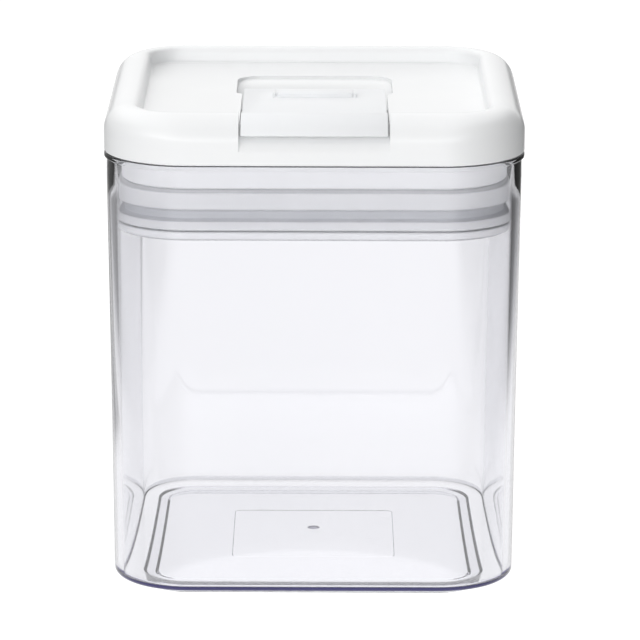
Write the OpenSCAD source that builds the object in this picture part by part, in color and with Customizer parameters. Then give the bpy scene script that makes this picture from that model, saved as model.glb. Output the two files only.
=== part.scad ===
// Food canister: a clear rounded-square body and a white flip-lever lid. The lever's cams push
// the plug's lower plate down, which lets the ring gasket go slack; springs pull it up to seal.
// Millimetres, +Z up, front at -Y, origin under the middle of the foot.

/* [Body] */
// Width across the flats at the rim
rim_w = 125; // [115:0.5:135]
// Width across the flats just above the base
base_w = 120.8; // [112:0.2:126]
// Width across the flats under the flared neck
neck_w = 123.4; // [114:0.2:130]
// Height of the body from the foot to the rim
body_h = 133.7; // [120:0.1:160]
// Height at which the neck starts to flare
neck_z = 122; // [110:0.5:128]
// Wall thickness
wall = 2.6; // [2:0.1:3.5]
// Thickness of the base outside the foot
shelf_t = 1.3; // [1:0.1:3]
// Hollow under the floor, inside the foot
foot_hollow = 1.4; // [0.8:0.1:2]
// Gate mark, behind the middle
gate_y = 6; // [0:0.5:12]
// Half the distance between opposite corner centres
core = 37.2; // [30:0.1:45]
// Height of the foot below the base
foot_h = 3.1; // [2:0.1:5]
// Width of the foot across the flats
foot_w = 103; // [96:0.5:110]

/* [Lid] */
// Gap between the body's rim and the lid
rim_gap = 0.3; // [0.2:0.1:1]
// Height of the lid cover
lid_h = 14.3; // [12:0.1:18]
// Radius of the cover's outer roundover
lid_r = 8.2; // [5:0.1:9]
// Cover wall thickness
lid_wall = 2.2; // [1.6:0.1:3]
// Depth of the top panel below the crest
panel_d = 4.8; // [3:0.1:6]
// Width of the top panel across the flats
panel_w = 102.6; // [96:0.2:108]
// Corner radius of the top panel
panel_r = 8; // [4:0.5:14]
// Half-width of the finger well behind the lever
well_hw = 23.9; // [22.5:0.1:28]
// Rear edge of the finger well
well_y = 28.6; // [20:0.1:36]

/* [Lever] */
// Half-width of the lever
lever_hw = 21.45; // [15:0.05:26]
// Side gap between lever and slot
slot_gap = 0.65; // [0.3:0.05:1]
// Thickness of the lever
lever_t = 2.4; // [1.8:0.1:3.5]
// Rear edge of the lever
lever_y = 4.4; // [0:0.1:10]
// Height of the lever above the panel
lever_up = 0.7; // [0.3:0.1:1.5]
// Hinge axis, along Y
axis_y = -6.8; // [-12:0.1:0]
// Hinge axis below the lever's upper face
axis_drop = 8.2; // [7:0.1:10]
// Pin radius
pin_r = 1.5; // [1:0.1:2]
// Travel of the plug's lower plate for a quarter turn
travel = 3; // [2:0.1:4]
// Smallest reach of the cam below the axis
cam_r0 = 4.1; // [3.5:0.1:5]

/* [Plug] */
// Half-width of the gasket
gasket_hw = 58.65; // [56:0.05:59]
// Underside of the plug
plug_z = 110.65; // [100:0.05:116]
// Height of the gasket
gasket_h = 12.2; // [9:0.1:14]
// Stem position to each side
stem_x = 22.5; // [20:0.5:26]
// Stem radius
stem_r = 3; // [2:0.1:4]

/* [Hidden] */
$fn = 96;
e = 0.01;
rim_r = rim_w/2 - core;
base_r = base_w/2 - core;
neck_r = neck_w/2 - core;
shelf_z = foot_h + shelf_t;
lid_z = body_h + rim_gap;
crest_z = lid_z + lid_h;
panel_z = crest_z - panel_d;
arc_z = crest_z - lid_r;
arc_r = rim_r - lid_r;
core2 = panel_w/2 - panel_r;
top_z = panel_z + lever_up;
axis_z = top_z - axis_drop;
slot_hw = lever_hw + slot_gap;
under_z = top_z - lever_t;
plate_z = panel_z - 2;
k = travel/(PI/2);
arc_y = -(core + arc_r);
gz0 = plug_z + 2.95;
gz1 = gz0 + gasket_h;
floor_z = gz0 + 3.9;
yoke_z = axis_z - cam_r0 - 0.15;
yoke_t = 2.4;
cap_hw = 50;
screw_xy = 44;
lug_x0 = 13;
lug_x1 = 16.6;
guide_x = 18;
guide_y = 27;
tail_r = sqrt(pow(lever_y - axis_y, 2) + pow(axis_drop, 2));
clear = "#dfe3f2";
white = "#f2f3f3";
steel = "#b9bcc2";
rubber = "#dcdcdf";

function arc(cx, cz, r, a0, a1, n) =
    [for (i = [0:n]) let (a = a0 + (a1 - a0)*i/n) [cx + r*cos(a), cz + r*sin(a)]];

// a profile in (r, z) carried round a rounded square, r counted from the corner centres
module ring_sweep(c) {
    for (i = [0:3]) rotate([0, 0, 90*i]) {
        translate([c, c, 0]) rotate_extrude(angle = 90) children();
        translate([c, c, 0]) rotate([90, 0, 0]) linear_extrude(height = 2*c) children();
    }
}

module solid_sweep(c, z0, z1) {
    ring_sweep(c) children();
    translate([-c, -c, z0]) cube([2*c, 2*c, z1 - z0]);
}

module rsq(hw, r) {
    square([2*hw, 2*(hw - r)], center = true);
    square([2*(hw - r), 2*hw], center = true);
    for (x = [-1, 1], y = [-1, 1]) translate([x*(hw - r), y*(hw - r)]) circle(r = r);
}

module slab(hw, r, z0, z1) translate([0, 0, z0]) linear_extrude(height = z1 - z0) rsq(hw, r);

// a profile in (y, z) drawn out along X
module along_x(x0, x1)
    translate([x0, 0, 0]) rotate([90, 0, 90]) linear_extrude(height = x1 - x0) children();

module rod_x(r, x0, x1, y = axis_y, z = axis_z)
    translate([x0, y, z]) rotate([0, 90, 0]) cylinder(r = r, h = x1 - x0);

module post(x, y, r, z0, z1) translate([x, y, z0]) cylinder(r = r, h = z1 - z0);

module canister() color(clear) difference() {
    union() {
        solid_sweep(core, foot_h, body_h) polygon(concat(
            [[0, foot_h]],
            arc(base_r - 2, foot_h + 2, 2, -90, 0, 6),
            [[neck_r, neck_z], [rim_r - 0.75, body_h - 1.6], [rim_r, body_h - 1.3],
             [rim_r, body_h - 0.3], [rim_r - 0.3, body_h], [0, body_h]]));
        solid_sweep(foot_w/2 - 13.9, 0, foot_h + 1) polygon([[0, 0], [12.8, 0], [13.4, 0.6],
            [13.7, foot_h - 0.4], [14, foot_h + 0.2], [14, foot_h + 1], [0, foot_h + 1]]);
    }
    solid_sweep(core, shelf_z, body_h + 1) polygon(concat(
        [[0, shelf_z]],
        arc(base_r - wall - 0.8, shelf_z + 0.8, 0.8, -90, 0, 4),
        [[neck_r - wall, neck_z - 2], [rim_r - wall + 0.3, body_h - 3],
         [rim_r - wall + 0.6, body_h + 1], [0, body_h + 1]]));
    slab(47.6, 9.3, -1, foot_hollow);
    slab(25, 2, -1, foot_hollow + 0.25);
    translate([0, gate_y, foot_hollow - 0.5]) cylinder(r1 = 2.3, r2 = 0.8, h = 1.9);
}

module cover_block(inset) {
    solid_sweep(core, lid_z - (inset > 0 ? 1 : 0), crest_z - inset) polygon(concat(
        [[0, lid_z - (inset > 0 ? 1 : 0)], [rim_r - inset, lid_z - (inset > 0 ? 1 : 0)]],
        arc(arc_r, arc_z, lid_r - inset, 0, 90, 10),
        [[0, crest_z - inset]]));
}

module recess_block(out) {
    solid_sweep(core2, panel_z - out, crest_z + 1) polygon(concat(
        [[0, panel_z - out], [panel_r - 0.1 + out, panel_z - out], [panel_r + 0.3 + out, crest_z - 2.5]],
        out > 0 ? [] : arc(panel_r + 2.7, crest_z - 2.4, 2.4, 180, 90, 8),
        [[panel_r + (out > 0 ? 0.3 + out : 2.7), crest_z + 1], [0, crest_z + 1]]));
}

// the room that the lever lies in and swings through
function room() = concat(
    [[-70, crest_z + 5], [-70, lid_z + 3.7], [-62.6, lid_z + 3.7], [-62.45, lid_z + 4.2],
     [-62.15, lid_z + 4.9], [-61.75, lid_z + 5.6], [-61.2, lid_z + 6.3], [-60.5, lid_z + 6.95],
     [-59.8, lid_z + 7.55], [-59.45, lid_z + 7.95], [-59.3, lid_z + 8.4]],
    arc(arc_y, arc_z, lid_r - lever_t - 0.6, 148, 90, 6),
    [[-51, under_z + 1.75], [-49.6, under_z - 0.7]],
    [[axis_y - 7.2, under_z - 0.7], [axis_y - 7.2, floor_z - 5], [axis_y + 4, floor_z - 5]],
    arc(axis_y, axis_z, tail_r + 0.5, -56, -8, 8),
    arc(well_y - 1.5, panel_z - 0.9 - 12, 12, 115, 90, 4),
    [[well_y + 3, panel_z - 0.9], [well_y + 3, crest_z + 5]]);

// the shell round that room, before the room is cut
function tray() = concat(
    [[-70, crest_z + 5], [-70, lid_z], [-60.3, lid_z], [-60.3, lid_z + 1.7],
     [-57.6, lid_z + 4.9], [-56.9, lid_z + 8],
     [-54.4, crest_z - 5.6], [-51.6, crest_z - 6.6], [-48.8, under_z - 2.7],
     [axis_y - 9, under_z - 2.7], [axis_y - 9, lid_z + 1], [axis_y - 7, lid_z + 1],
     [axis_y - 7, panel_z - 1], [axis_y + 7, panel_z - 1]],
    arc(axis_y, axis_z, tail_r + 2.1, -50, -8, 8),
    arc(well_y - 1.5, panel_z - 2.7 - 12, 12, 115, 90, 4),
    [[well_y + 3, panel_z - 2.7], [well_y + 3, crest_z + 5]]);

module plan_cut() {
    translate([-slot_hw, -70]) square([2*slot_hw, 71]);
    translate([-well_hw, 0.5]) square([2*well_hw, well_y - 8]);
    translate([-well_hw + 7.5, 0.5]) square([2*(well_hw - 7.5), well_y - 0.5]);
    for (s = [-1, 1]) translate([s*(well_hw - 7.5), well_y - 7.5]) circle(r = 7.5);
}

module plan_tray() {
    translate([-slot_hw - 2, -70]) square([2*(slot_hw + 2), 72]);
    translate([-well_hw - 1.8, -1.5]) square([2*(well_hw + 1.8), well_y - 6]);
    translate([-well_hw + 7.5, 0.5]) square([2*(well_hw - 7.5), well_y + 1.3]);
    for (s = [-1, 1]) translate([s*(well_hw - 7.5), well_y - 7.5]) circle(r = 9.3);
}

module lid_cover() color(white) difference() {
    union() {
        difference() {
            cover_block(0);
            difference() {
                cover_block(lid_wall);
                recess_block(2);
            }
            translate([-core2 - 6, -core2 - 6, lid_z - 1]) cube([2*core2 + 12, 2*core2 + 12, plate_z - lid_z + 1]);
        }
        intersection() {
            cover_block(0);
            translate([0, 0, lid_z - 30]) linear_extrude(height = 50) plan_tray();
            along_x(-40, 40) polygon(tray());
        }
        for (x = [-1, 1], y = [-1, 1]) post(x*screw_xy, y*screw_xy, 3.4, lid_z + 1.4, plate_z + 0.5);
    }
    recess_block(0);
    intersection() {
        translate([0, 0, lid_z - 20]) linear_extrude(height = 60) plan_cut();
        along_x(-40, 40) polygon(room());
    }
    for (x = [-1, 1], y = [-1, 1]) post(x*screw_xy, y*screw_xy, 1.25, lid_z - 1, plate_z - 0.8);
}

module lug_profile() {
    translate([axis_y, axis_z]) circle(r = 4.2);
    translate([axis_y - 4.2, floor_z + 1]) square([8.4, axis_z - floor_z - 1]);
}

module lid_frame() color(white) difference() {
    union() {
        difference() {
            union() {
                solid_sweep(core, floor_z, gz1 + 2) polygon([[0, floor_z], [14.3, floor_z], [14.8, floor_z + 0.5],
                    [14.8, gz1 + 0.1], [20, gz1 + 0.1], [20.6, gz1 + 0.7], [20.6, gz1 + 2], [0, gz1 + 2]]);
                ring_sweep(core) polygon([[18.8, gz1 + 1], [20.6, gz1 + 1], [20.6, lid_z], [22.8, lid_z],
                    [22.8, lid_z + 1.4], [18.8, lid_z + 1.4]]);
            }
            solid_sweep(core, floor_z + 2, gz1 + 3) polygon([[0, floor_z + 2], [12.8, floor_z + 2],
                [12.8, gz1 + 3], [0, gz1 + 3]]);
        }
        for (x = [-1, 1], y = [-1, 1]) post(x*screw_xy, y*screw_xy, 4.4, floor_z + 1, lid_z + 1.4);
        for (s = [-1, 1]) {
            along_x(s > 0 ? lug_x0 : -lug_x1, s > 0 ? lug_x1 : -lug_x0) lug_profile();
            post(s*stem_x, axis_y, 6.2, floor_z + 1, floor_z + 4);
            post(s*guide_x, guide_y, 4.4, floor_z + 1, floor_z + 14);
        }
        translate([-5, axis_y - 16, floor_z + 1]) cube([10, 4, 11]);
    }
    for (s = [-1, 1]) {
        rod_x(pin_r, s > 0 ? lug_x0 - 1 : -lug_x1 - 1, s > 0 ? lug_x1 + 1 : -lug_x0 + 1);
        post(s*stem_x, axis_y, stem_r + 0.35, floor_z - 1, floor_z + 5);
        post(s*stem_x, axis_y, 4.3, floor_z + 0.7, floor_z + 5);
        post(s*guide_x, guide_y, 2.6, floor_z - 1, floor_z + 12);
    }
    for (x = [-1, 1], y = [-1, 1]) {
        post(x*screw_xy, y*screw_xy, 1.5, floor_z - 1, lid_z + 2);
        post(x*screw_xy, y*screw_xy, 3.1, floor_z - 1, floor_z + 2.7);
    }
    translate([0, axis_y - 14.3, floor_z + 9]) rotate([-90, 0, 0]) cylinder(r = 0.9, h = 3);
}

module frame_screws() color(steel) for (x = [-1, 1], y = [-1, 1]) difference() {
    union() {
        post(x*screw_xy, y*screw_xy, 2.8, floor_z + 0.9, floor_z + 2.7);
        post(x*screw_xy, y*screw_xy, 1.25, floor_z + 2.6, plate_z - 1.2);
    }
    for (a = [0, 90]) translate([x*screw_xy, y*screw_xy, floor_z + 0.9]) rotate([0, 0, a])
        cube([3.2, 0.6, 1.8], center = true);
}

// the cam's support rises evenly with angle, so the flat yoke drops evenly
module cam_profile() translate([axis_y, axis_z]) polygon(concat(
    [[-2.5, 0], [-1.2, -3.6], [0, -cam_r0]],
    [for (i = [0:16]) let (f = 90*i/16, p = cam_r0 + k*f*PI/180)
        [p*sin(f) + k*cos(f), -p*cos(f) + k*sin(f)]],
    [[6.4, 3.6], [5.2, axis_drop - lever_t + 0.2], [-2.5, axis_drop - lever_t + 0.2]]));

module flip_lever() color(white) difference() {
    union() {
        along_x(-lever_hw, lever_hw) polygon(concat(
            [[lever_y - 0.5, under_z], [lever_y, under_z + 0.5]],
            [[lever_y, top_z - 0.5], [lever_y - 0.5, top_z], [-48.6, top_z]],
            arc(arc_y, crest_z - 2.4, 2.4, 0, 90, 6),
            arc(arc_y, arc_z, lid_r, 90, 160, 8),
            arc(arc_y, arc_z, lid_r - lever_t, 160, 90, 8),
            [[-50.4, under_z + 2.2], [-48.8, under_z]]));
        difference() {
            along_x(-12.65, 12.65) polygon([[axis_y - 3.4, under_z], [axis_y + 3.4, under_z],
                [axis_y + 3.1, top_z + 1.1], [axis_y + 2.6, top_z + 1.5], [axis_y - 2.8, top_z + 1.5],
                [axis_y - 3.3, top_z + 1.1]]);
            for (s = [-1, 1]) translate([s*11.6 - 0.3, axis_y - 5, top_z + 0.2]) cube([0.6, 10, 3]);
        }
        rod_x(3.9, -12.65, 12.65);
        along_x(-12.65, 12.65) translate([axis_y - 3, axis_z]) square([6, axis_drop - lever_t + 0.2]);
        for (s = [-1, 1]) along_x(s > 0 ? 7.65 : -12.65, s > 0 ? 12.65 : -7.65) cam_profile();
    }
    rod_x(pin_r + 0.15, -13, 13);
    for (s = [-1, 1]) rod_x(2.4, s > 0 ? 7.6 : -13, s > 0 ? 13 : -7.6);
}

module lever_bushes() color("#3b3d42") for (s = [-1, 1]) difference() {
    rod_x(2.4, s > 0 ? 7.65 : -12.6, s > 0 ? 12.6 : -7.65);
    rod_x(pin_r + 0.05, -14, 14);
}

module lever_pin() color(steel) difference() {
    rod_x(pin_r, -18.6, 18.6);
    for (s = [-1, 1]) difference() {
        rod_x(pin_r + 1, s > 0 ? 17.1 : -17.8, s > 0 ? 17.8 : -17.1);
        rod_x(1.1, -20, 20);
    }
}

module pin_clips() color(steel) for (s = [-1, 1]) difference() {
    rod_x(3, s > 0 ? 17.15 : -17.75, s > 0 ? 17.75 : -17.15);
    rod_x(1.15, -20, 20);
    translate([s*17.45 - 1, axis_y - 1, axis_z - 4]) cube([2, 2, 4]);
}

module cam_yoke() color("#e4e5e7") difference() {
    union() {
        translate([-stem_x, axis_y - 5.4, yoke_z - yoke_t]) cube([2*stem_x, 10.4, yoke_t]);
        for (s = [-1, 1]) post(s*stem_x, axis_y, 5.2, yoke_z - yoke_t, yoke_z);
    }
    for (s = [-1, 1]) {
        post(s*stem_x, axis_y, 2, yoke_z - 5, yoke_z + 1);
        translate([s*(lug_x0 + lug_x1)/2 - 2.1, axis_y - 4.6, yoke_z - 5]) cube([4.2, 9.2, 8]);
    }
}

module pull_stems() color(steel) for (s = [-1, 1]) difference() {
    union() {
        post(s*stem_x, axis_y, stem_r, gz0 + 2.9, yoke_z - yoke_t);
        post(s*stem_x, axis_y, 2, yoke_z - yoke_t - e, yoke_z + 2.3);
    }
    post(s*stem_x, axis_y, 1.3, gz0, gz0 + 10);
}

module stem_nuts() color(steel) for (s = [-1, 1]) difference() {
    translate([s*stem_x, axis_y, yoke_z]) cylinder(r = 3.9, h = 2, $fn = 6);
    post(s*stem_x, axis_y, 2, yoke_z - 1, yoke_z + 3);
}

module stem_bushes() color("#3b3d42") for (s = [-1, 1]) difference() {
    union() {
        post(s*stem_x, axis_y, 4.3, floor_z + 1.9, floor_z + 4);
        post(s*stem_x, axis_y, 5.6, floor_z + 4, floor_z + 4.6);
    }
    post(s*stem_x, axis_y, stem_r + 0.06, floor_z, floor_z + 6);
}

module stem_orings() color("#2a2a2d") for (s = [-1, 1])
    translate([s*stem_x, axis_y, floor_z + 1.3]) rotate_extrude() translate([3.63, 0]) circle(r = 0.55, $fn = 32);

// a coil spring: a round wire carried up a helix, closed at both ends
module coil(rm, rw, z0, z1, turns) {
    n = turns*20;
    w = 8;
    pts = [for (i = [0:n], j = [0:w - 1]) let (a = 360*i/20, b = 360*j/w, r = rm + rw*cos(b))
        [r*cos(a), r*sin(a), z0 + rw + (z1 - z0 - 2*rw)*i/n + rw*sin(b)]];
    polyhedron(pts, concat([[for (j = [0:w - 1]) j]],
        [for (i = [0:n - 1], j = [0:w - 1]) [i*w + j, (i + 1)*w + j, (i + 1)*w + (j + 1) % w]],
        [for (i = [0:n - 1], j = [0:w - 1]) [i*w + j, (i + 1)*w + (j + 1) % w, i*w + (j + 1) % w]],
        [[for (j = [w - 1:-1:0]) n*w + j]]));
}

module return_springs() color(steel) for (s = [-1, 1]) translate([s*stem_x, axis_y, 0])
    coil(4.35, 0.45, floor_z + 4.65, yoke_z - yoke_t - 0.05, 4);

module seal_plate() color(white) difference() {
    union() {
        solid_sweep(core, plug_z + 0.05, gz0 - 0.1) polygon([[0, plug_z + 0.05], [20.2, plug_z + 0.05],
            [21.2, plug_z + 0.75], [21.4, plug_z + 1.6], [21.4, gz0 - 0.5], [21, gz0 - 0.1], [0, gz0 - 0.1]]);
        ring_sweep(core) polygon([[13, gz0 - 0.2], [14.6, gz0 - 0.2], [14.6, gz0 + 2.6], [13, gz0 + 2.6]]);
        for (s = [-1, 1]) {
            post(s*stem_x, axis_y, 5.6, gz0 - 0.2, gz0 + 2.9);
            post(s*guide_x, guide_y, 2.5, gz0 - 0.2, floor_z + 11);
        }
    }
    slab(cap_hw + 0.1, 12.9, plug_z - 1, plug_z + 1.35);
    for (s = [-1, 1]) {
        post(s*stem_x, axis_y, 4, plug_z, gz0 + 1.2);
        post(s*stem_x, axis_y, 1.4, plug_z, gz0 + 4);
    }
}

module stem_screws() color(steel) for (s = [-1, 1]) difference() {
    union() {
        post(s*stem_x, axis_y, 2.8, gz0 - 1.1, gz0 + 0.7);
        post(s*stem_x, axis_y, 1.3, gz0 + 0.6, gz0 + 8.5);
    }
    for (a = [0, 90]) translate([s*stem_x, axis_y, gz0 - 1.1]) rotate([0, 0, a]) cube([3.2, 0.6, 1.8], center = true);
}

module stem_washers() color(steel) for (s = [-1, 1]) difference() {
    post(s*stem_x, axis_y, 3.7, gz0 + 0.7, gz0 + 1.2);
    post(s*stem_x, axis_y, 1.4, gz0, gz0 + 2);
}

module plate_cap() color(white) difference() {
    slab(cap_hw, 12.8, plug_z, plug_z + 1.35);
    slab(cap_hw - 2, 10.8, plug_z - 1, plug_z + 0.15);
}

module gasket() color(rubber) ring_sweep(core) polygon(concat(
    [[15.1, gz0], [20.6, gz0]],
    arc(gasket_hw - core - 0.8, gz0 + 1, 0.8, -60, 30, 4),
    [[gasket_hw - core - 0.3, gz0 + 2.9], [gasket_hw - core - 2, gz0 + 3.5],
     [gasket_hw - core - 2, gz0 + 5.9], [gasket_hw - core - 0.4, gz0 + 6.5]],
    arc(gasket_hw - core - 0.8, gz1 - 1.3, 0.8, -10, 80, 4),
    [[20.4, gz1], [15.1, gz1], [15.1, gz1 - 3], [17.4, gz1 - 3], [17.4, gz0 + 2.4], [15.1, gz0 + 2.4]]));

module detent_spring() color(steel) difference() {
    along_x(-3, 3) translate([axis_y, floor_z]) polygon([[-12, 6], [-11.5, 6], [-11.5, 13], [-6.3, 13],
        [-6.3, 16.4], [-4.25, 17.7], [-4.25, 19.3], [-6.2, 20.8], [-6.6, 20.4], [-4.75, 19],
        [-4.75, 18], [-6.8, 16.6], [-6.8, 13.5], [-12, 13.5]]);
    translate([0, axis_y - 13, floor_z + 9]) rotate([-90, 0, 0]) cylinder(r = 0.95, h = 3);
}

module detent_screw() color(steel) {
    translate([0, axis_y - 11.5, floor_z + 9]) rotate([-90, 0, 0]) cylinder(r = 1.8, h = 1.2);
    translate([0, axis_y - 14.2, floor_z + 9]) rotate([-90, 0, 0]) cylinder(r = 0.9, h = 2.8);
}

canister();
lid_cover();
lid_frame();
frame_screws();
flip_lever();
lever_pin();
pin_clips();
lever_bushes();
cam_yoke();
pull_stems();
stem_nuts();
stem_bushes();
stem_orings();
return_springs();
seal_plate();
stem_screws();
stem_washers();
plate_cap();
gasket();
detent_spring();
detent_screw();
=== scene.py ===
import bpy
import bmesh
import math
from mathutils import Matrix, Vector


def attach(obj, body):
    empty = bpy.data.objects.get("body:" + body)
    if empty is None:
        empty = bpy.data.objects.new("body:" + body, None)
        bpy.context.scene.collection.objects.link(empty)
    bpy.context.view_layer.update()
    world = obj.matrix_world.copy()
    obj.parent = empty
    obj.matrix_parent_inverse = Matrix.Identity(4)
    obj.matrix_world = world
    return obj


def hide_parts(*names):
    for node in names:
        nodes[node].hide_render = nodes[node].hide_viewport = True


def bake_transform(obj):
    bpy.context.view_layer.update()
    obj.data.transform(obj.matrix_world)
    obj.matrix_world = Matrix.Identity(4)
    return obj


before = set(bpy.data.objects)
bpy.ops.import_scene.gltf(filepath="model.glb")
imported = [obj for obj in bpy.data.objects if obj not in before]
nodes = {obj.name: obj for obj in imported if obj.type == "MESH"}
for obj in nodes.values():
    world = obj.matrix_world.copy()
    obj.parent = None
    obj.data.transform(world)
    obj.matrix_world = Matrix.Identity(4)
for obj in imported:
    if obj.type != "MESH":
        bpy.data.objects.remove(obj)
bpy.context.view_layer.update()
scene = bpy.context.scene
MM = 0.001

# ---------------------------------------------------------------- materials


def new_mat(name):
    m = bpy.data.materials.new(name)
    m.use_nodes = True
    nt = m.node_tree
    nt.nodes.clear()
    out = nt.nodes.new("ShaderNodeOutputMaterial")
    b = nt.nodes.new("ShaderNodeBsdfPrincipled")
    nt.links.new(b.outputs["BSDF"], out.inputs["Surface"])
    return m, nt, b


def coords(nt, scale):
    tc = nt.nodes.new("ShaderNodeTexCoord")
    mp = nt.nodes.new("ShaderNodeMapping")
    mp.inputs["Scale"].default_value = scale
    nt.links.new(tc.outputs["Object"], mp.inputs["Vector"])
    return mp


def noise(nt, mp, scale, detail=3.0, rough=0.55):
    n = nt.nodes.new("ShaderNodeTexNoise")
    n.inputs["Scale"].default_value = scale
    n.inputs["Detail"].default_value = detail
    n.inputs["Roughness"].default_value = rough
    nt.links.new(mp.outputs["Vector"], n.inputs["Vector"])
    return n


def ramp(nt, fac, stops):
    r = nt.nodes.new("ShaderNodeValToRGB")
    el = r.color_ramp.elements
    el[0].position, el[0].color = stops[0][0], (*stops[0][1], 1)
    el[1].position, el[1].color = stops[-1][0], (*stops[-1][1], 1)
    for p, c in stops[1:-1]:
        e = el.new(p)
        e.color = (*c, 1)
    nt.links.new(fac, r.inputs["Fac"])
    return r


def rng(nt, fac, lo, hi):
    m = nt.nodes.new("ShaderNodeMapRange")
    m.inputs["From Min"].default_value = 0.3
    m.inputs["From Max"].default_value = 0.7
    m.inputs["To Min"].default_value = lo
    m.inputs["To Max"].default_value = hi
    nt.links.new(fac, m.inputs["Value"])
    return m


def bump(nt, b, height, strength, dist):
    n = nt.nodes.new("ShaderNodeBump")
    n.inputs["Strength"].default_value = strength
    n.inputs["Distance"].default_value = dist
    nt.links.new(height, n.inputs["Height"])
    nt.links.new(n.outputs["Normal"], b.inputs["Normal"])
    return n


def plastic(name, c, spread=0.012, rough=(0.31, 0.38), grain=70, strength=0.03, spec=0.5, coat=0.0):
    m, nt, b = new_mat(name)
    mp = coords(nt, (1, 1, 1))
    big = noise(nt, mp, 18, 2)
    lo = [max(0.0, x - spread) for x in c]
    hi = [min(1.0, x + spread) for x in c]
    r = ramp(nt, big.outputs["Fac"], [(0.35, lo), (0.65, hi)])
    nt.links.new(r.outputs["Color"], b.inputs["Base Color"])
    mid = noise(nt, mp, 90, 4)
    nt.links.new(rng(nt, mid.outputs["Fac"], *rough).outputs["Result"], b.inputs["Roughness"])
    fine = noise(nt, mp, grain, 1)
    bump(nt, b, fine.outputs["Fac"], strength, 0.00006)
    b.inputs["IOR"].default_value = 1.49
    b.inputs["Specular IOR Level"].default_value = spec
    b.inputs["Coat Weight"].default_value = coat
    b.inputs["Coat Roughness"].default_value = 0.12
    return m


def metal(name, c, along="X", rough=(0.22, 0.38)):
    m, nt, b = new_mat(name)
    s = {"X": (0.06, 1, 1), "Z": (1, 1, 0.06), "Y": (1, 0.06, 1)}[along]
    mp = coords(nt, s)
    n = noise(nt, mp, 2600, 3)
    lo = [x * 0.86 for x in c]
    hi = [min(1.0, x * 1.08) for x in c]
    r = ramp(nt, n.outputs["Fac"], [(0.3, lo), (0.7, hi)])
    nt.links.new(r.outputs["Color"], b.inputs["Base Color"])
    nt.links.new(rng(nt, n.outputs["Fac"], *rough).outputs["Result"], b.inputs["Roughness"])
    b.inputs["Metallic"].default_value = 1.0
    bump(nt, b, n.outputs["Fac"], 0.15, 0.00003)
    return m


def rubberish(name, c, spread, rough, grain=900, strength=0.2, sss=0.0, transmission=0.0):
    m, nt, b = new_mat(name)
    mp = coords(nt, (1, 1, 1))
    n = noise(nt, mp, 60, 3)
    lo = [max(0.0, x - spread) for x in c]
    hi = [min(1.0, x + spread) for x in c]
    r = ramp(nt, n.outputs["Fac"], [(0.3, lo), (0.7, hi)])
    nt.links.new(r.outputs["Color"], b.inputs["Base Color"])
    nt.links.new(rng(nt, n.outputs["Fac"], *rough).outputs["Result"], b.inputs["Roughness"])
    g = noise(nt, mp, grain, 3)
    bump(nt, b, g.outputs["Fac"], strength, 0.00005)
    b.inputs["Transmission Weight"].default_value = transmission
    b.inputs["Subsurface Weight"].default_value = sss
    b.inputs["Subsurface Radius"].default_value = (0.004, 0.004, 0.004)
    b.inputs["Subsurface Scale"].default_value = 0.5
    return m


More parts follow.
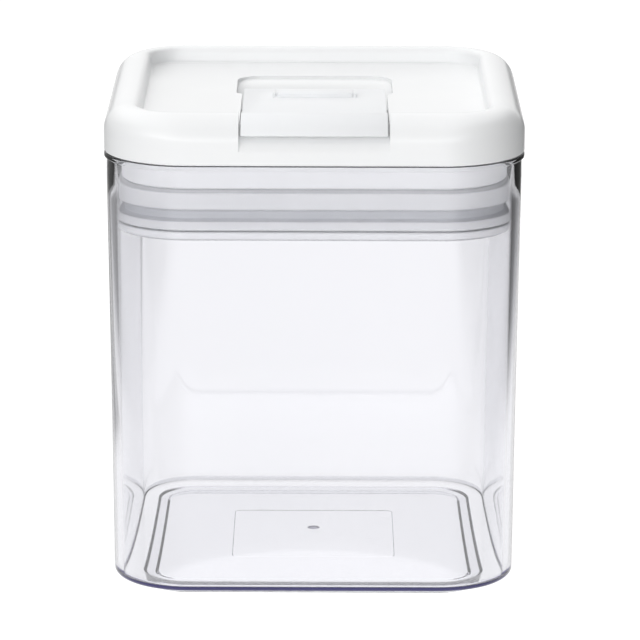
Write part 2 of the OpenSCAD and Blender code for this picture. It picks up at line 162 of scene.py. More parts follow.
def clear_plastic(name):
    """Moulded clear plastic: a faint blue-violet body colour that deepens with thickness, slight
    flow waviness, a trace of haze."""
    m, nt, b = new_mat(name)
    mp = coords(nt, (1, 1, 0.35))
    flow = noise(nt, mp, 16, 2, 0.4)
    r = ramp(nt, flow.outputs["Fac"], [(0.3, (0.966, 0.967, 0.976)), (0.7, (0.978, 0.978, 0.986))])
    # painted shade: the outer face of the bottom edge is mixed towards a dark violet and made less clear, more strongly
    # at the front than at the back, standing in for the dark band along that edge
    tc = nt.nodes.new("ShaderNodeTexCoord")
    sp = nt.nodes.new("ShaderNodeSeparateXYZ")
    nt.links.new(tc.outputs["Object"], sp.inputs["Vector"])

    def mth(op, a, c=None):
        n = nt.nodes.new("ShaderNodeMath")
        n.operation = op
        for i, v in enumerate((a, c)):
            if isinstance(v, (int, float)):
                n.inputs[i].default_value = v
            elif v is not None:
                nt.links.new(v, n.inputs[i])
        return n.outputs[0]

    def rise(v, lo, hi):
        n = nt.nodes.new("ShaderNodeMapRange")
        n.interpolation_type = "SMOOTHSTEP"
        nt.links.new(v, n.inputs["Value"])
        n.inputs["From Min"].default_value = lo
        n.inputs["From Max"].default_value = hi
        return n.outputs["Result"]

    qx = mth("MAXIMUM", mth("SUBTRACT", mth("ABSOLUTE", sp.outputs["X"]), 0.0372), 0.0)
    qy = mth("MAXIMUM", mth("SUBTRACT", mth("ABSOLUTE", sp.outputs["Y"]), 0.0372), 0.0)
    rr = mth("SQRT", mth("ADD", mth("MULTIPLY", qx, qx), mth("MULTIPLY", qy, qy)))
    edge = mth("MULTIPLY", rise(rr, 0.0206, 0.0210), mth("SUBTRACT", 1.0, rise(sp.outputs["Z"], 0.0047, 0.0052)))
    edge = mth("MULTIPLY", edge, mth("ADD", 0.25, mth("MULTIPLY", 0.75, mth("SUBTRACT", 1.0, rise(sp.outputs["Y"], -0.02, 0.03)))))
    # a round spot at the gate on the underside takes the same dark violet at 0.8 strength
    gx, gy = sp.outputs["X"], mth("SUBTRACT", sp.outputs["Y"], 0.006)
    gd = mth("SQRT", mth("ADD", mth("MULTIPLY", gx, gx), mth("MULTIPLY", gy, gy)))
    spot = mth("MULTIPLY", mth("SUBTRACT", 1.0, rise(gd, 0.0017, 0.0021)), mth("SUBTRACT", 1.0, rise(sp.outputs["Z"], 0.0030, 0.0032)))
    edge = mth("MAXIMUM", edge, mth("MULTIPLY", spot, 0.8))
    mix = nt.nodes.new("ShaderNodeMix")
    mix.data_type = "RGBA"
    nt.links.new(edge, mix.inputs["Factor"])
    nt.links.new(r.outputs["Color"], mix.inputs["A"])
    painted_edge_shade_tint = ramp(nt, flow.outputs["Fac"], [(0.3, (0.020, 0.014, 0.150)), (0.7, (0.028, 0.020, 0.190))])
    nt.links.new(painted_edge_shade_tint.outputs["Color"], mix.inputs["B"])
    nt.links.new(mix.outputs["Result"], b.inputs["Base Color"])
    haze = noise(nt, mp, 240, 3)
    nt.links.new(rng(nt, haze.outputs["Fac"], 0.0, 0.012).outputs["Result"], b.inputs["Roughness"])
    bump(nt, b, flow.outputs["Fac"], 0.06, 0.0004)
    nt.links.new(mth("SUBTRACT", 1.0, mth("MULTIPLY", edge, 0.5)), b.inputs["Transmission Weight"])
    b.inputs["IOR"].default_value = 1.53
    va = nt.nodes.new("ShaderNodeVolumeAbsorption")
    va.inputs["Color"].default_value = (0.26, 0.26, 0.38, 1)
    va.inputs["Density"].default_value = 40.0
    out = [x for x in nt.nodes if x.type == "OUTPUT_MATERIAL"][0]
    nt.links.new(va.outputs["Volume"], out.inputs["Volume"])
    return m


M = {
    "clear": clear_plastic("clear_moulded_plastic"),
    "cover": plastic("white_cover_plastic", (0.872, 0.880, 0.886), coat=0.5),
    "lever": plastic("white_lever_plastic", (0.850, 0.861, 0.875), rough=(0.31, 0.38)),
    "frame": plastic("white_frame_plastic", (0.93, 0.935, 0.945), rough=(0.34, 0.44)),
    "plate": plastic("white_plate_plastic", (0.93, 0.935, 0.945), rough=(0.30, 0.40)),
    "cap": plastic("white_cap_plastic", (0.90, 0.905, 0.91), rough=(0.36, 0.46)),
    "yoke": plastic("pale_yoke_plastic", (0.70, 0.705, 0.715), rough=(0.38, 0.50)),
    "bush": plastic("dark_bush_plastic", (0.045, 0.047, 0.052), 0.008, rough=(0.40, 0.55)),
    "silicone": rubberish("white_silicone", (0.88, 0.885, 0.90), 0.02, (0.42, 0.55), sss=0.3),
    "oring": rubberish("black_oring_rubber", (0.018, 0.018, 0.02), 0.006, (0.5, 0.7)),
    "washer": rubberish("dark_washer_rubber", (0.03, 0.03, 0.033), 0.008, (0.5, 0.7)),
    "steel_x": metal("ground_pin_steel", (0.58, 0.59, 0.61), "X"),
    "steel_z": metal("plated_screw_steel", (0.55, 0.56, 0.58), "Z"),
    "wire": metal("drawn_wire_steel", (0.50, 0.51, 0.53), "Z", (0.30, 0.45)),
    "leaf": metal("spring_leaf_steel", (0.48, 0.49, 0.52), "Y", (0.28, 0.42)),
}
USE = {
    "canister": "clear", "lid_cover": "cover", "lid_frame": "frame", "frame_screws": "steel_z",
    "flip_lever": "lever", "lever_pin": "steel_x", "pin_clips": "leaf", "lever_bushes": "bush",
    "cam_yoke": "yoke", "pull_stems": "steel_z", "stem_nuts": "steel_z", "stem_bushes": "bush",
    "stem_orings": "oring", "return_springs": "wire", "seal_plate": "plate", "stem_screws": "steel_z",
    "stem_washers": "washer", "plate_cap": "cap", "gasket": "silicone", "detent_spring": "leaf",
    "detent_screw": "steel_z",
}
# painted light: the white frame, seal plate and gasket glow (strength 0.33, 0.36, 0.29) on faces that look sideways and
# lie out at the outer wall, fading out on faces that look up or down and on recessed faces; it stands in for light
# reaching them through the clear wall
for key, e in (("frame", 0.33), ("plate", 0.36), ("silicone", 0.29)):
    nt = M[key].node_tree
    bs = [x for x in nt.nodes if x.type == "BSDF_PRINCIPLED"][0]
    bs.inputs["Emission Color"].default_value = (0.97, 0.975, 1, 1)
    g = nt.nodes.new("ShaderNodeNewGeometry")
    sz = nt.nodes.new("ShaderNodeSeparateXYZ")
    nt.links.new(g.outputs["True Normal"], sz.inputs["Vector"])
    tc = nt.nodes.new("ShaderNodeTexCoord")
    sx = nt.nodes.new("ShaderNodeSeparateXYZ")
    nt.links.new(tc.outputs["Object"], sx.inputs["Vector"])
    flat = nt.nodes.new("ShaderNodeMath")
    flat.operation = "ABSOLUTE"
    nt.links.new(sz.outputs["Z"], flat.inputs[0])
    q = []
    for ax in ("X", "Y"):
        ab = nt.nodes.new("ShaderNodeMath")
        ab.operation = "ABSOLUTE"
        nt.links.new(sx.outputs[ax], ab.inputs[0])
        su = nt.nodes.new("ShaderNodeMath")
        su.operation, su.use_clamp = "SUBTRACT", True
        nt.links.new(ab.outputs[0], su.inputs[0])
        su.inputs[1].default_value = 0.0372
        q.append(su)
    hy = nt.nodes.new("ShaderNodeVectorMath")
    hy.operation = "LENGTH"
    cb = nt.nodes.new("ShaderNodeCombineXYZ")
    nt.links.new(q[0].outputs[0], cb.inputs["X"])
    nt.links.new(q[1].outputs[0], cb.inputs["Y"])
    nt.links.new(cb.outputs["Vector"], hy.inputs[0])
    side = nt.nodes.new("ShaderNodeMapRange")
    nt.links.new(flat.outputs[0], side.inputs["Value"])
    side.inputs["From Min"].default_value, side.inputs["From Max"].default_value = 0.4, 0.97
    side.inputs["To Min"].default_value, side.inputs["To Max"].default_value = e, 0.0
    far = nt.nodes.new("ShaderNodeMapRange")
    nt.links.new(hy.outputs["Value"], far.inputs["Value"])
    far.inputs["From Min"].default_value, far.inputs["From Max"].default_value = 0.0188, 0.0206
    mu = nt.nodes.new("ShaderNodeMath")
    mu.operation = "MULTIPLY"
    nt.links.new(side.outputs["Result"], mu.inputs[0])
    nt.links.new(far.outputs["Result"], mu.inputs[1])
    nt.links.new(mu.outputs[0], bs.inputs["Emission Strength"])
    if key == "silicone":
        # painted shade: the recessed groove between the lips gets a darker base colour and no glow, standing in for the
        # shade in the groove
        old = bs.inputs["Base Color"].links[0].from_socket
        mix = nt.nodes.new("ShaderNodeMix")
        mix.data_type = "RGBA"
        nt.links.new(far.outputs["Result"], mix.inputs["Factor"])
        nt.links.new(old, mix.inputs["B"])
        n2 = noise(nt, coords(nt, (1, 1, 1)), 80, 2)
        groove_painted_shade = ramp(nt, n2.outputs["Fac"], [(0.3, (0.72, 0.74, 0.79)), (0.7, (0.76, 0.78, 0.82))])
        nt.links.new(groove_painted_shade.outputs["Color"], mix.inputs["A"])
        nt.links.new(mix.outputs["Result"], bs.inputs["Base Color"])
for n, key in USE.items():
    o = nodes[n]
    o.data.materials.clear()
    o.data.materials.append(M[key])

# ---------------------------------------------------------------- modelling helpers (millimetres in, metres out)

CORE = 37.2


def loop(h, r, z, n=22):
    """A rounded square: half-width h, corner radius r, height z, as points in order."""
    pts = []
    c = h - r
    for k, (sx, sy) in enumerate(((1, 1), (-1, 1), (-1, -1), (1, -1))):
        for i in range(n + 1):
            a = math.radians(90 * (k + i / n))
            pts.append(((sx * c + r * math.cos(a)) * MM, (sy * c + r * math.sin(a)) * MM, z * MM))
    return pts


def arc(cx, cz, r, a0, a1, n):
    return [(cx + r * math.cos(math.radians(a0 + (a1 - a0) * i / n)),
             cz + r * math.sin(math.radians(a0 + (a1 - a0) * i / n))) for i in range(n + 1)]


def link(name, verts, faces, sharp=33.0):
    me = bpy.data.meshes.new(name)
    me.from_pydata(verts, [], faces)
    bm = bmesh.new()
    bm.from_mesh(me)
    bmesh.ops.remove_doubles(bm, verts=bm.verts, dist=1e-7)
    bmesh.ops.dissolve_degenerate(bm, dist=1e-7, edges=bm.edges)
    bmesh.ops.recalc_face_normals(bm, faces=bm.faces)
    bm.to_mesh(me)
    bm.free()
    for p in me.polygons:
        p.use_smooth = True
    me.set_sharp_from_angle(angle=math.radians(sharp))
    o = bpy.data.objects.new(name, me)
    scene.collection.objects.link(o)
    return o


def even(o):
    """Flat faces stay flat: shading normals weighted by face area."""
    m = o.modifiers.new("normals", "WEIGHTED_NORMAL")
    m.keep_sharp, m.mode, m.weight = True, "FACE_AREA", 50


def loft(name, stations, ring=False, n=22, sharp=33.0):
    """stations: (half-width, corner radius, z). Closed by flat caps, or by itself if ring."""
    verts, faces = [], []
    m = 4 * (n + 1)
    for st in stations:
        verts += loop(*st, n=n)
    k = len(stations)
    for i in range(k if ring else k - 1):
        j = (i + 1) % k
        for t in range(m):
            u = (t + 1) % m
            faces.append((i * m + t, i * m + u, j * m + u, j * m + t))
    if not ring:
        faces.append(tuple(range(m)))
        faces.append(tuple((k - 1) * m + t for t in range(m)))
    return link(name, verts, faces, sharp)


def swept(pts, core=CORE):
    """Profile points (half-width, z) that share one set of corner centres."""
    return [(h, h - core, z) for h, z in pts]


def dress(o, mat, body, *cad):
    o.data.materials.clear()
    o.data.materials.append(M[mat])
    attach(o, body)
    if cad:
        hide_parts(*cad)
    return o


# ---------------------------------------------------------------- clear body

BOT, TOPF = 3.1, 4.4            # underside and upper side of the base
FI = 0.6                        # inner fillet
can = [(24.8, 2.0, 1.65), (25.0, 2.2, 1.4), (47.0, 8.7, 1.4), (47.4, 9.1, 1.1), (47.7, 9.4, 0.2), (48.0, 9.7, 0.0)]
can += swept([(50.4, 0.0), (50.8, 0.15), (51.0, 0.6), (51.2, 1.6), (51.3, 2.7), (51.6, BOT)], 37.6)
can += swept([(57.6, BOT)] + arc(58.4, BOT + 2, 2, -90, 0, 8) + [(60.72, 40), (61.15, 80), (61.7, 122)])
can += swept([(61.75, 127), (61.7, 131.8), (61.75, 132.05), (61.9, 132.2), (62.35, 132.3), (62.5, 132.5), (62.5, 133.3),
              (62.35, 133.6), (62.1, 133.7), (60.8, 133.7), (60.55, 133.6), (60.45, 133.3), (60.2, 130.7),
              (59.55, 125), (59.1, 120), (58.55, 80), (58.15, 40)])
can += swept([(57.82, TOPF + FI)] + arc(57.8 - FI, TOPF + FI, FI, 0, -90, 8)[1:] + [(52, TOPF)])
canister = loft("clear_body", can)
gate = [(0.05, 2.78), (0.5, 2.76), (0.85, 2.68), (1.1, 2.5), (2.3, 0.9)]
gv = [(r * math.cos(2 * math.pi * i / 32) * MM, (6 + r * math.sin(2 * math.pi * i / 32)) * MM, z * MM)
      for r, z in gate for i in range(32)]
gf = [(k * 32 + i, k * 32 + (i + 1) % 32, (k + 1) * 32 + (i + 1) % 32, (k + 1) * 32 + i)
      for k in range(len(gate) - 1) for i in range(32)]
gf += [tuple(range(32)), tuple((len(gate) - 1) * 32 + i for i in range(32))]
gate = link("gate", gv, gf)
m = canister.modifiers.new("gate", "BOOLEAN")
m.operation, m.object, m.solver = "DIFFERENCE", gate, "EXACT"
me = bpy.data.meshes.new_from_object(canister.evaluated_get(bpy.context.evaluated_depsgraph_get()))
canister.modifiers.clear()
canister.data = me
bpy.data.objects.remove(gate)
for p in me.polygons:
    p.use_smooth = True
me.set_sharp_from_angle(angle=math.radians(33))
even(canister)
dress(canister, "clear", "body", "canister")

# ---------------------------------------------------------------- lid cover

LZ, CREST, PANEL, UNDER, AXY, AXZ = 134.0, 148.3, 143.5, 141.8, -6.8, 136.0
TOPZ = 144.2
TAIL = math.hypot(4.4 - AXY, TOPZ - AXZ)


def prism_x(name, prof, x0, x1):
    n = len(prof)
    v = [(x * MM, y * MM, z * MM) for x in (x0, x1) for y, z in prof]
    f = [(i, (i + 1) % n, n + (i + 1) % n, n + i) for i in range(n)]
    f += [tuple(range(n)), tuple(range(2 * n - 1, n - 1, -1))]
    return link(name, v, f)


def prism_z(name, plan, z0, z1):
    n = len(plan)
    v = [(x * MM, y * MM, z * MM) for z in (z0, z1) for x, y in plan]
    f = [(i, (i + 1) % n, n + (i + 1) % n, n + i) for i in range(n)]
    f += [tuple(range(n)), tuple(range(2 * n - 1, n - 1, -1))]
    return link(name, v, f)


def disc(x, y, r, n=32):
    return [(x + r * math.cos(2 * math.pi * i / n), y + r * math.sin(2 * math.pi * i / n)) for i in range(n)]


def bake(o):
    dg = bpy.context.evaluated_depsgraph_get()
    me = bpy.data.meshes.new_from_object(o.evaluated_get(dg))
    o.modifiers.clear()
    o.data = me


def carve(a, b, op):
    m = a.modifiers.new("cut", "BOOLEAN")
    m.operation, m.object, m.solver = op, b, "EXACT"
    bake(a)
    bpy.data.objects.remove(b)
    return a


def outer_r(a):
    """Corner radius of the cover on its roundover, angle a from the side (0) to the crest (90)."""
    t = a / 90
    return 25.3 - 11.3 * t ** 1.4


out = [(h, h - CORE, z) for h, z in [(61.9, LZ), (62.3, LZ + 0.08), (62.5, LZ + 0.4), (62.5, 137), (62.5, 139.3)]]
for i in range(15):
    a = 90 * i / 14
    out.append((54.3 + 8.2 * math.cos(math.radians(a)), outer_r(a), 140.1 + 8.2 * math.sin(math.radians(a))))
for i in range(1, 9):
    a = 90 * i / 8
    out.append((54.0 - 2.4 * math.sin(math.radians(a)), 14.0 - 4.6 * a / 90, 145.9 + 2.4 * math.cos(math.radians(a))))
out += [(51.42, 9.0, 144.5), (51.35, 8.8, 144.05), (51.15, 8.5, 143.7), (50.8, 8.2, 143.54), (50.4, 8.0, PANEL)]
cover = loft("lid_shell", out)
hollow = [(h, h - CORE, z) for h, z in [(60.3, LZ - 6), (60.3, 140.1)]]
for i in range(1, 9):
    a = 90 * i / 8
    hollow.append((54.3 + 6 * math.cos(math.radians(a)), outer_r(a) - 2.2 + 0.6 * a / 90, 140.1 + 6 * math.sin(math.radians(a))))
hollow += [(53.7, 11.5, 145.8), (53.4, 11.2, 143.0), (53.2, 11.0, 141.5)]
hollow = loft("hollow", hollow)

tray = [(-70, CREST + 5), (-70, LZ - 8), (-60.3, LZ - 8), (-60.3, LZ + 1.7), (-57.6, LZ + 4.9), (-56.9, LZ + 8),
        (-54.4, CREST - 5.6), (-51.6, CREST - 6.6), (-48.8, UNDER - 2.7), (AXY - 9, UNDER - 2.7),
        (AXY - 9, LZ + 1), (AXY - 7, LZ + 1), (AXY - 7, PANEL - 1), (AXY + 7, PANEL - 1)]
tray += arc(AXY, AXZ, TAIL + 2.1, -50, -8, 8)
tray += arc(28.6 - 1.5, PANEL - 2.7 - 12, 12, 115, 90, 4) + [(31.6, PANEL - 2.7), (31.6, CREST + 5)]
plan = [(-24.1, -75), (24.1, -75), (24.1, -1.5), (25.7, -1.5)]
plan += arc(16.4, 21.1, 9.3, 0, 90, 8) + arc(-16.4, 21.1, 9.3, 90, 180, 8) + [(-25.7, -1.5), (-24.1, -1.5)]
tray = carve(prism_x("tray", tray, -41, 41), prism_z("tray_plan", plan, 120, 170), "INTERSECT")
for x in (-44, 44):
    for y in (-44, 44):
        hollow = carve(hollow, prism_z("post", disc(x, y, 3.4), LZ + 1.4, CREST - 3), "DIFFERENCE")
hollow = carve(hollow, tray, "DIFFERENCE")
cover = carve(cover, hollow, "DIFFERENCE")

room = [(-75, CREST + 5), (-75, LZ + 3.7), (-62.6, LZ + 3.7), (-62.45, LZ + 4.2), (-62.15, LZ + 4.9), (-61.75, LZ + 5.6),
        (-61.2, LZ + 6.3), (-60.5, LZ + 6.95), (-59.8, LZ + 7.55), (-59.45, LZ + 7.95), (-59.3, LZ + 8.4)]
room += arc(-54.3, 140.1, 5.2, 148, 90, 8) + [(-51, UNDER + 1.75), (-49.6, UNDER - 0.7), (AXY - 7.2, UNDER - 0.7),
        (AXY - 7.2, 112.5), (AXY + 4, 112.5)]
room += arc(AXY, AXZ, TAIL + 0.5, -56, -8, 10) + arc(28.6 - 1.5, PANEL - 0.9 - 12, 12, 115, 90, 8)
room += [(31.6, PANEL - 0.9), (31.6, CREST + 5)]
plan = [(-22.1, -80), (22.1, -80), (22.1, -1.6), (22.35, -0.6), (23.2, 0.1), (23.75, 0.9), (23.9, 1.9)]
plan += arc(16.4, 21.1, 7.5, 0, 90, 12) + arc(-16.4, 21.1, 7.5, 90, 180, 12)
plan += [(-23.9, 1.9), (-23.75, 0.9), (-23.2, 0.1), (-22.35, -0.6), (-22.1, -1.6)]
room = carve(prism_x("room", room, -42, 42), prism_z("room_plan", plan, 105, 171), "INTERSECT")
cover = carve(cover, room, "DIFFERENCE")
for x in (-44, 44):
    for y in (-44, 44):
        cover = carve(cover, prism_z("bore", disc(x, y, 1.25, 20), LZ - 2, PANEL - 2.8), "DIFFERENCE")


def soften(o, width, sharp=30.0, seg=2, limit=32.0):
    bm = bmesh.new()
    bm.from_mesh(o.data)
    bmesh.ops.remove_doubles(bm, verts=bm.verts, dist=2e-6)
    bmesh.ops.dissolve_degenerate(bm, dist=2e-6, edges=bm.edges)
    bmesh.ops.recalc_face_normals(bm, faces=bm.faces)
    bm.to_mesh(o.data)
    bm.free()
    if width:
        m = o.modifiers.new("edge", "BEVEL")
        m.width, m.segments, m.limit_method, m.angle_limit = width, seg, "ANGLE", math.radians(limit)
        m.use_clamp_overlap, m.miter_outer = True, "MITER_ARC"
        bake(o)
    for p in o.data.polygons:
        p.use_smooth = True
    o.data.set_sharp_from_angle(angle=math.radians(sharp))
    even(o)


soften(cover, 0.00025, sharp=40)
dress(cover, "cover", "lid", "lid_cover")

# ---------------------------------------------------------------- gasket and springs, built at one length; in the lid they change length with the plate

G0, G1 = 113.6, 125.8
gp = [(52.3, G0), (57.5, G0)] + arc(57.85, G0 + 1, 0.8, -75, 30, 7)
gp += [(58.4, G0 + 2.6), (58.2, G0 + 2.95), (57.1, G0 + 3.35), (56.7, G0 + 3.7), (56.65, G0 + 4.7), (56.7, G0 + 5.7),
       (57.1, G0 + 6.1), (58.0, G0 + 6.45), (58.35, G0 + 6.8), (58.6, G0 + 8.6)]
gp += arc(57.85, G1 - 1.3, 0.8, -10, 85, 7) + [(57.3, G1), (52.3, G1), (52.3, G1 - 3), (54.6, G1 - 3),
       (54.6, G0 + 8), (54.6, G0 + 5), (54.6, G0 + 2.4), (52.3, G0 + 2.4)]
gasket = loft("soft_gasket", swept(gp), ring=True)
gasket.data.materials.append(M["silicone"])
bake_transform(gasket)
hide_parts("gasket")


def coils(name, rm, rw, z0, z1, turns, per=36, w=12):
    v, f = [], []
    n = turns * per
    for s in (-1, 1):
        base = len(v)
        for i in range(n + 1):
            t = i / n
            # flat closed ends, even pitch between them
            lead = 0.12
            u = 0.0 if t < lead * 0.6 else (1.0 if t > 1 - lead * 0.6 else (t - lead * 0.6) / (1 - lead * 1.2))
            u = u * u * (3 - 2 * u) * 0.25 + u * 0.75
            cz = z0 + rw + (z1 - z0 - 2 * rw) * u
            a = 2 * math.pi * i / per
            for j in range(w):
                b = 2 * math.pi * j / w
                r = rm + rw * math.cos(b)
                v.append(((s * 22.5 + r * math.cos(a)) * MM, (AXY + r * math.sin(a)) * MM, (cz + rw * math.sin(b)) * MM))
        for i in range(n):
            for j in range(w):
                k = (j + 1) % w
                f.append((base + i * w + j, base + (i + 1) * w + j, base + (i + 1) * w + k, base + i * w + k))
        f.append(tuple(base + j for j in range(w - 1, -1, -1)))
        f.append(tuple(base + n * w + j for j in range(w)))
    return link(name, v, f, 50)


springs = coils("wire_springs", 4.35, 0.45, 122.15, 129.30, 5)
springs.data.materials.append(M["wire"])
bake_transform(springs)
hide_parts("return_springs")

# CAD nodes that are shown as they are: smooth the arcs, keep the corners, break the edges of the lever and the seal
# plate a little
for n, o in nodes.items():
    if n in ("return_springs", "canister", "lid_cover", "gasket"):
        continue
    for p in o.data.polygons:
        p.use_smooth = True
    w = o.modifiers.new("weld", "WELD")
    w.merge_threshold = 0.000002
    if n in ("flip_lever", "seal_plate"):
        d = o.modifiers.new("flat", "DECIMATE")
        d.decimate_type, d.angle_limit = "DISSOLVE", math.radians(0.3)
        v = o.modifiers.new("edge", "BEVEL")
        v.width, v.segments, v.limit_method, v.angle_limit = 0.0003, 2, "ANGLE", math.radians(24)
        v.use_clamp_overlap = True
        v.harden_normals = False
    e = o.modifiers.new("split", "EDGE_SPLIT")
    e.split_angle = math.radians(24)
    e.use_edge_sharp = False

# ---------------------------------------------------------------- floor, light, camera

floor_me = bpy.data.meshes.new("floor")
floor_me.from_pydata([(-6, -6, -0.0003), (6, -6, -0.0003), (6, 6, -0.0003), (-6, 6, -0.0003)], [], [(0, 1, 2, 3)])
floor = bpy.data.objects.new("floor", floor_me)
scene.collection.objects.link(floor)
fm, nt, b = new_mat("pale_floor")
mp = coords(nt, (1, 1, 1))
fn = noise(nt, mp, 3, 2)
r = ramp(nt, fn.outputs["Fac"], [(0.3, (0.070, 0.070, 0.070)), (0.7, (0.080, 0.080, 0.080))])
nt.links.new(r.outputs["Color"], b.inputs["Base Color"])
b.inputs["Roughness"].default_value = 0.9
b.inputs["Specular IOR Level"].default_value = 0.0
# a lit table: bright under and behind the object, falling away to the sides
gp = nt.nodes.new("ShaderNodeNewGeometry")
sp = nt.nodes.new("ShaderNodeSeparateXYZ")
nt.links.new(gp.outputs["Position"], sp.inputs["Vector"])
fc = nt.nodes.new("ShaderNodeFloatCurve")
cu = fc.mapping.curves[0]
keys = [(-1.0, 0.24), (-0.5, 0.24), (-0.33, 0.27), (-0.26, 0.64), (-0.2, 0.96), (-0.165, 1.0), (0.165, 1.0), (0.2, 0.84),
        (0.25, 0.42), (0.32, 0.1), (0.5, 0.04), (1.0, 0.04)]
cu.points[0].location, cu.points[1].location = (0.0, keys[0][1]), (1.0, keys[-1][1])
for kx, ky in keys[1:-1]:
    cu.points.new((kx + 1) / 2, ky)
fc.mapping.update()
ma = nt.nodes.new("ShaderNodeMapRange")
ma.inputs["From Min"].default_value = -1.0
ma.inputs["From Max"].default_value = 1.0
nt.links.new(sp.outputs["X"], ma.inputs["Value"])
nt.links.new(ma.outputs["Result"], fc.inputs["Value"])
dst = nt.nodes.new("ShaderNodeVectorMath")
dst.operation = "DISTANCE"
nt.links.new(gp.outputs["Position"], dst.inputs[0])
dst.inputs[1].default_value = (0, -0.065, 0)
hot = nt.nodes.new("ShaderNodeMapRange")
hot.interpolation_type = "SMOOTHSTEP"
nt.links.new(dst.outputs["Value"], hot.inputs["Value"])
hot.inputs["From Min"].default_value, hot.inputs["From Max"].default_value = 0.050, 0.056
hot.inputs["To Min"].default_value, hot.inputs["To Max"].default_value = 1.17, 1.02
mu = nt.nodes.new("ShaderNodeMath")
mu.operation = "MULTIPLY"
nt.links.new(fc.outputs["Value"], mu.inputs[0])
nt.links.new(hot.outputs["Result"], mu.inputs[1])


def fmath(op, a, c):
    n = nt.nodes.new("ShaderNodeMath")
    n.operation = op
    for i, v in enumerate((a, c)):
        if isinstance(v, (int, float)):
            n.inputs[i].default_value = v
        else:
            nt.links.new(v, n.inputs[i])
    return n.outputs[0]


# painted shade: the table's glow drops to 0.45 in a wedge behind the object, to its left, standing in for a grey card;
# the glass and lid edges pick up its darkness
fan = fmath("DIVIDE", sp.outputs["X"], fmath("ADD", sp.outputs["Y"], 1.26))
painted_dim_patch = []
for v, lo, hi, t0, t1 in ((fan, -0.092, -0.085, 0.45, 1.0), (fan, -0.145, -0.122, 1.0, 0.0), (sp.outputs["Y"], 0.06, 0.16, 1.0, 0.0),
                         (sp.outputs["Y"], 0.45, 0.65, 0.0, 1.0)):
    n = nt.nodes.new("ShaderNodeMapRange")
    n.interpolation_type = "SMOOTHSTEP"
    nt.links.new(v, n.inputs["Value"])
    n.inputs["From Min"].default_value, n.inputs["From Max"].default_value = lo, hi
    n.inputs["To Min"].default_value, n.inputs["To Max"].default_value = t0, t1
    painted_dim_patch.append(n.outputs["Result"])
lit = fmath("MULTIPLY", mu.outputs[0], fmath("MAXIMUM", fmath("MAXIMUM", painted_dim_patch[0], painted_dim_patch[1]), fmath("MAXIMUM", painted_dim_patch[2], painted_dim_patch[3])))
nt.links.new(lit, b.inputs["Emission Strength"])
b.inputs["Emission Color"].default_value = (1, 1, 1, 1)
floor_me.materials.append(fm)

world = bpy.data.worlds.new("studio")
scene.world = world
world.use_nodes = True
wt = world.node_tree
wt.nodes.clear()
wo = wt.nodes.new("ShaderNodeOutputWorld")
bg = wt.nodes.new("ShaderNodeBackground")
wt.links.new(bg.outputs["Background"], wo.inputs["Surface"])
tc = wt.nodes.new("ShaderNodeTexCoord")
sep = wt.nodes.new("ShaderNodeSeparateXYZ")
wt.links.new(tc.outputs["Generated"], sep.inputs["Vector"])


def wmath(op, a, b=None, c=None, clamp=False):
    n = wt.nodes.new("ShaderNodeMath")
    n.operation = op
    n.use_clamp = clamp
    for i, v in enumerate((a, b, c)):
        if v is None:
            continue
        if isinstance(v, (int, float)):
            n.inputs[i].default_value = v
        else:
            wt.links.new(v, n.inputs[i])
    return n.outputs[0]


def step(v, lo, hi, a, c):
    n = wt.nodes.new("ShaderNodeMapRange")
    n.interpolation_type = "SMOOTHSTEP"
    wt.links.new(v, n.inputs["Value"])
    n.inputs["From Min"].default_value = lo
    n.inputs["From Max"].default_value = hi
    n.inputs["To Min"].default_value = a
    n.inputs["To Max"].default_value = c
    return n.outputs["Result"]


X, Y, Z = sep.outputs["X"], sep.outputs["Y"], sep.outputs["Z"]
# azimuth from the camera's side: 0 in front, +90 right, -90 left, 180 behind the object
az = wmath("ARCTAN2", X, wmath("MULTIPLY", Y, -1.0))


def keyed(v, keys):
    """A smooth curve through (degrees, brightness)."""
    n = wt.nodes.new("ShaderNodeFloatCurve")
    c = n.mapping.curves[0]
    pts = [((d + 180) / 360, y / 2) for d, y in keys]
    c.points[0].location, c.points[1].location = pts[0], pts[-1]
    for p in pts[1:-1]:
        c.points.new(*p)
    n.mapping.update()
    wt.links.new(wmath("DIVIDE", wmath("ADD", v, math.pi), 2 * math.pi), n.inputs["Value"])
    return wmath("MULTIPLY", n.outputs["Value"], 2.0)


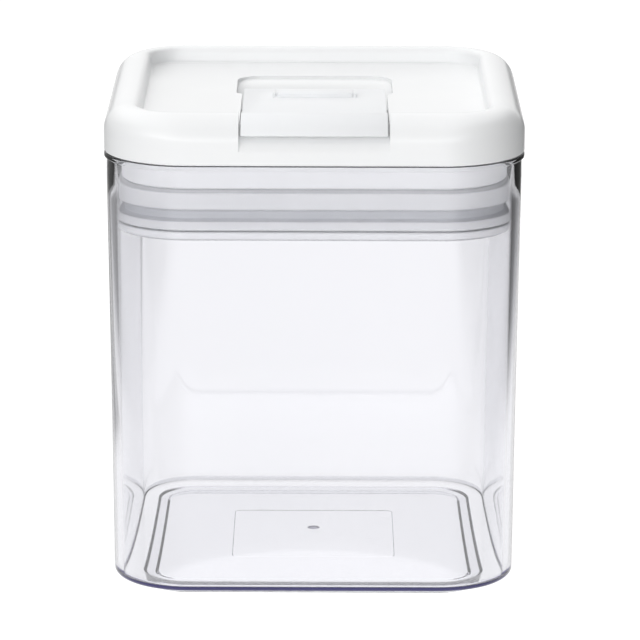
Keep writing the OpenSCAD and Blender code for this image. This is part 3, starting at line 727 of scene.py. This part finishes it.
round_ = keyed(az, [(-180, 1.04), (-168, 1.0), (-150, 0.62), (-120, 0.40), (-95, 0.30), (-62, 0.90), (-30, 1.30),
                    (0, 1.15), (28, 0.85), (50, 0.25), (90, 0.03), (120, 0.08), (150, 0.45), (168, 1.0), (180, 1.04)])
el = wmath("ARCSINE", Z)
strip = wmath("MULTIPLY", step(el, 0.05, 0.10, 0.0, 1.0), step(el, 0.20, 0.30, 1.0, 0.0))
strip = wmath("MULTIPLY", strip, wmath("MULTIPLY", step(az, -1.2, -0.7, 0.0, 1.0), step(az, 0.25, 0.7, 1.0, 0.0)))
tilt = wmath("ADD", wmath("MULTIPLY", Z, 0.94), wmath("ADD", wmath("MULTIPLY", Y, 0.34), wmath("MULTIPLY", X, -0.16)))
up = step(tilt, 0.50, 0.82, 0.0, 1.0)            # overhead softbox, a little behind
dip = wmath("MULTIPLY", step(el, 0.35, 0.7, 0.0, 0.28), step(el, 1.0, 1.35, 1.0, 0.0))
round_ = wmath("MULTIPLY", round_, wmath("SUBTRACT", 1.0, dip))
v = wmath("ADD", wmath("MULTIPLY", round_, wmath("SUBTRACT", 1.0, up)), wmath("MULTIPLY", up, 1.33))
v = wmath("ADD", v, wmath("MULTIPLY", strip, 2.4))
comb = wt.nodes.new("ShaderNodeCombineColor")
for k in ("Red", "Green", "Blue"):
    wt.links.new(v, comb.inputs[k])
wt.links.new(comb.outputs["Color"], bg.inputs["Color"])
bg.inputs["Strength"].default_value = 1.0

scene.view_settings.view_transform = "Standard"
scene.view_settings.look = "None"
scene.view_settings.exposure = 0.0
scene.view_settings.gamma = 1.0

cam_data = bpy.data.cameras.new("camera")
cam = bpy.data.objects.new("camera", cam_data)
scene.collection.objects.link(cam)
scene.camera = cam
cam_data.sensor_width = 36.0
cam_data.lens = 4200 / 640 * 36
PITCH, ROLL, DIST = math.radians(14.07), math.radians(0.17), 1.2994
target = Vector((0.00185, 0, 0.0722))
look = Vector((0, math.cos(PITCH), -math.sin(PITCH)))
cam.location = target - look * DIST
q = look.to_track_quat("-Z", "Y")
cam.rotation_mode = "QUATERNION"
cam.rotation_quaternion = q @ Matrix.Rotation(ROLL, 3, "Z").to_quaternion()
cam_data.clip_start, cam_data.clip_end = 0.01, 100
